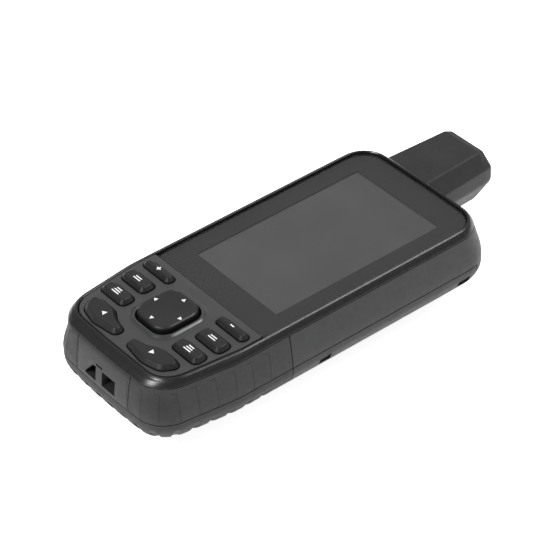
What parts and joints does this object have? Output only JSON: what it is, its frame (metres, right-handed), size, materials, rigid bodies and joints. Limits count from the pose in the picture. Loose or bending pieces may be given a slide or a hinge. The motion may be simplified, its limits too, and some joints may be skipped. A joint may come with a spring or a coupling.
{
  "type": "handheld satellite navigator",
  "caption": "Rugged handheld satellite navigator with a tall display, a small keypad round a rocker, a stub antenna and a latched rear cover.",
  "frame": {"origin": "under the middle of the whole device, on the surface it lies on", "axes": "+X to the right of the screen, +Y towards the antenna, +Z out of the screen"},
  "size_m": [0.062, 0.163, 0.035],
  "materials": {
    "shell_grey": "fine satin texture, slightly worn edges",
    "bumper_rubber": "soft matte rubber skin",
    "bezel_gloss": "glossy",
    "window_clear": "clear window with a dark printed border",
    "display_glass": "unlit grey display",
    "keypad_grey": "satin",
    "key_grey": "satin",
    "silicone_grey": "matte",
    "steel": "brushed",
    "black_plastic": "matte",
    "circuit_board": "solder mask",
    "lens_clear": "clear",
    "ceramic_white": "glazed",
    "battery_wrap": "shrink wrap"
  },
  "bodies": {
    "housing": {"mid_housing": "shell_grey", "lanyard_block": "shell_grey", "left_bumper": "bumper_rubber", "right_bumper": "bumper_rubber", "front_bezel": "bezel_gloss", "display_window": "window_clear", "display_gasket": "silicone_grey", "lcd_panel": "display_glass", "lcd_frame": "steel", "keypad_plate": "keypad_grey", "keypad_membrane": "silicone_grey", "dome_sheet": "steel", "keypad_board": "circuit_board", "main_board": "circuit_board", "processor_shield": "steel", "receiver_shield": "steel", "sounder": "black_plastic", "power_switch": "steel", "torch_lens": "lens_clear", "torch_lamp": "ceramic_white", "usb_socket": "steel", "antenna_housing": "shell_grey", "antenna_core": "ceramic_white", "antenna_lead": "circuit_board", "battery_pack": "battery_wrap", "battery_connector": "black_plastic", "card_socket": "steel", "memory_card": "black_plastic", "case_screw_1": "steel", "case_screw_2": "steel", "case_screw_3": "steel", "case_screw_4": "steel"},
    "key_zoom_in_body": {"key_zoom_in": "key_grey"},
    "key_zoom_out_body": {"key_zoom_out": "key_grey"},
    "key_find_body": {"key_find": "key_grey"},
    "key_page_body": {"key_page": "key_grey"},
    "key_mark_body": {"key_mark": "key_grey"},
    "key_menu_body": {"key_menu": "key_grey"},
    "key_enter_body": {"key_enter": "key_grey"},
    "key_quit_body": {"key_quit": "key_grey"},
    "power_button": {"power_key": "key_grey"},
    "socket_cap": {"usb_cap": "bumper_rubber"},
    "rocker_cross": {"rocker_pivot": "black_plastic"},
    "rocker": {"rocker_pad": "key_grey"},
    "cover": {"rear_cover": "shell_grey", "rear_bumper": "bumper_rubber", "cover_seal": "silicone_grey", "mount_spine": "shell_grey", "spine_screw_1": "steel", "spine_screw_2": "steel"},
    "latch": {"cover_latch": "black_plastic"},
    "ring": {"d_ring": "steel"}
  },
  "joints": [
    {"name": "press_zoom_in", "type": "slide", "parent": "housing", "child": "key_zoom_in_body", "axis": [0, 0, -1], "range_m": [0, 0.0004], "stiffness_N_per_m": 800},
    {"name": "press_zoom_out", "type": "slide", "parent": "housing", "child": "key_zoom_out_body", "axis": [0, 0, -1], "range_m": [0, 0.0004], "stiffness_N_per_m": 800},
    {"name": "press_find", "type": "slide", "parent": "housing", "child": "key_find_body", "axis": [0, 0, -1], "range_m": [0, 0.0004], "stiffness_N_per_m": 800},
    {"name": "press_page", "type": "slide", "parent": "housing", "child": "key_page_body", "axis": [0, 0, -1], "range_m": [0, 0.0004], "stiffness_N_per_m": 800},
    {"name": "press_mark", "type": "slide", "parent": "housing", "child": "key_mark_body", "axis": [0, 0, -1], "range_m": [0, 0.0004], "stiffness_N_per_m": 800},
    {"name": "press_menu", "type": "slide", "parent": "housing", "child": "key_menu_body", "axis": [0, 0, -1], "range_m": [0, 0.0004], "stiffness_N_per_m": 800},
    {"name": "press_enter", "type": "slide", "parent": "housing", "child": "key_enter_body", "axis": [0, 0, -1], "range_m": [0, 0.0004], "stiffness_N_per_m": 800},
    {"name": "press_quit", "type": "slide", "parent": "housing", "child": "key_quit_body", "axis": [0, 0, -1], "range_m": [0, 0.0004], "stiffness_N_per_m": 800},
    {"name": "press_power", "type": "slide", "parent": "housing", "child": "power_button", "axis": [1, 0, 0], "range_m": [0, 0.0005], "stiffness_N_per_m": 800},
    {"name": "rocker_up_down", "type": "hinge", "parent": "housing", "child": "rocker_cross", "pos_m": [0, -0.0548, 0.0293], "axis": [1, 0, 0], "range_deg": [-4, 4], "stiffness_Nm_per_rad": 0.25},
    {"name": "rocker_left_right", "type": "hinge", "parent": "rocker_cross", "child": "rocker", "pos_m": [0, -0.0548, 0.0293], "axis": [0, 1, 0], "range_deg": [-4, 4], "stiffness_Nm_per_rad": 0.25},
    {"name": "open_cap", "type": "hinge", "parent": "housing", "child": "socket_cap", "pos_m": [0.011, 0.0537, 0.0206], "axis": [1, 0, 0], "range_deg": [0, 110]},
    {"name": "lift_cover", "type": "slide", "parent": "housing", "child": "cover", "axis": [0, 0, -1], "range_m": [0, 0.03]},
    {"name": "turn_latch", "type": "hinge", "parent": "cover", "child": "latch", "pos_m": [0, -0.047, 0.004], "axis": [0, 0, 1], "range_deg": [0, 90]},
    {"name": "fold_ring", "type": "hinge", "parent": "latch", "child": "ring", "pos_m": [0, -0.0426, 0.00125], "axis": [1, 0, 0], "range_deg": [0, 90]}
  ]
}
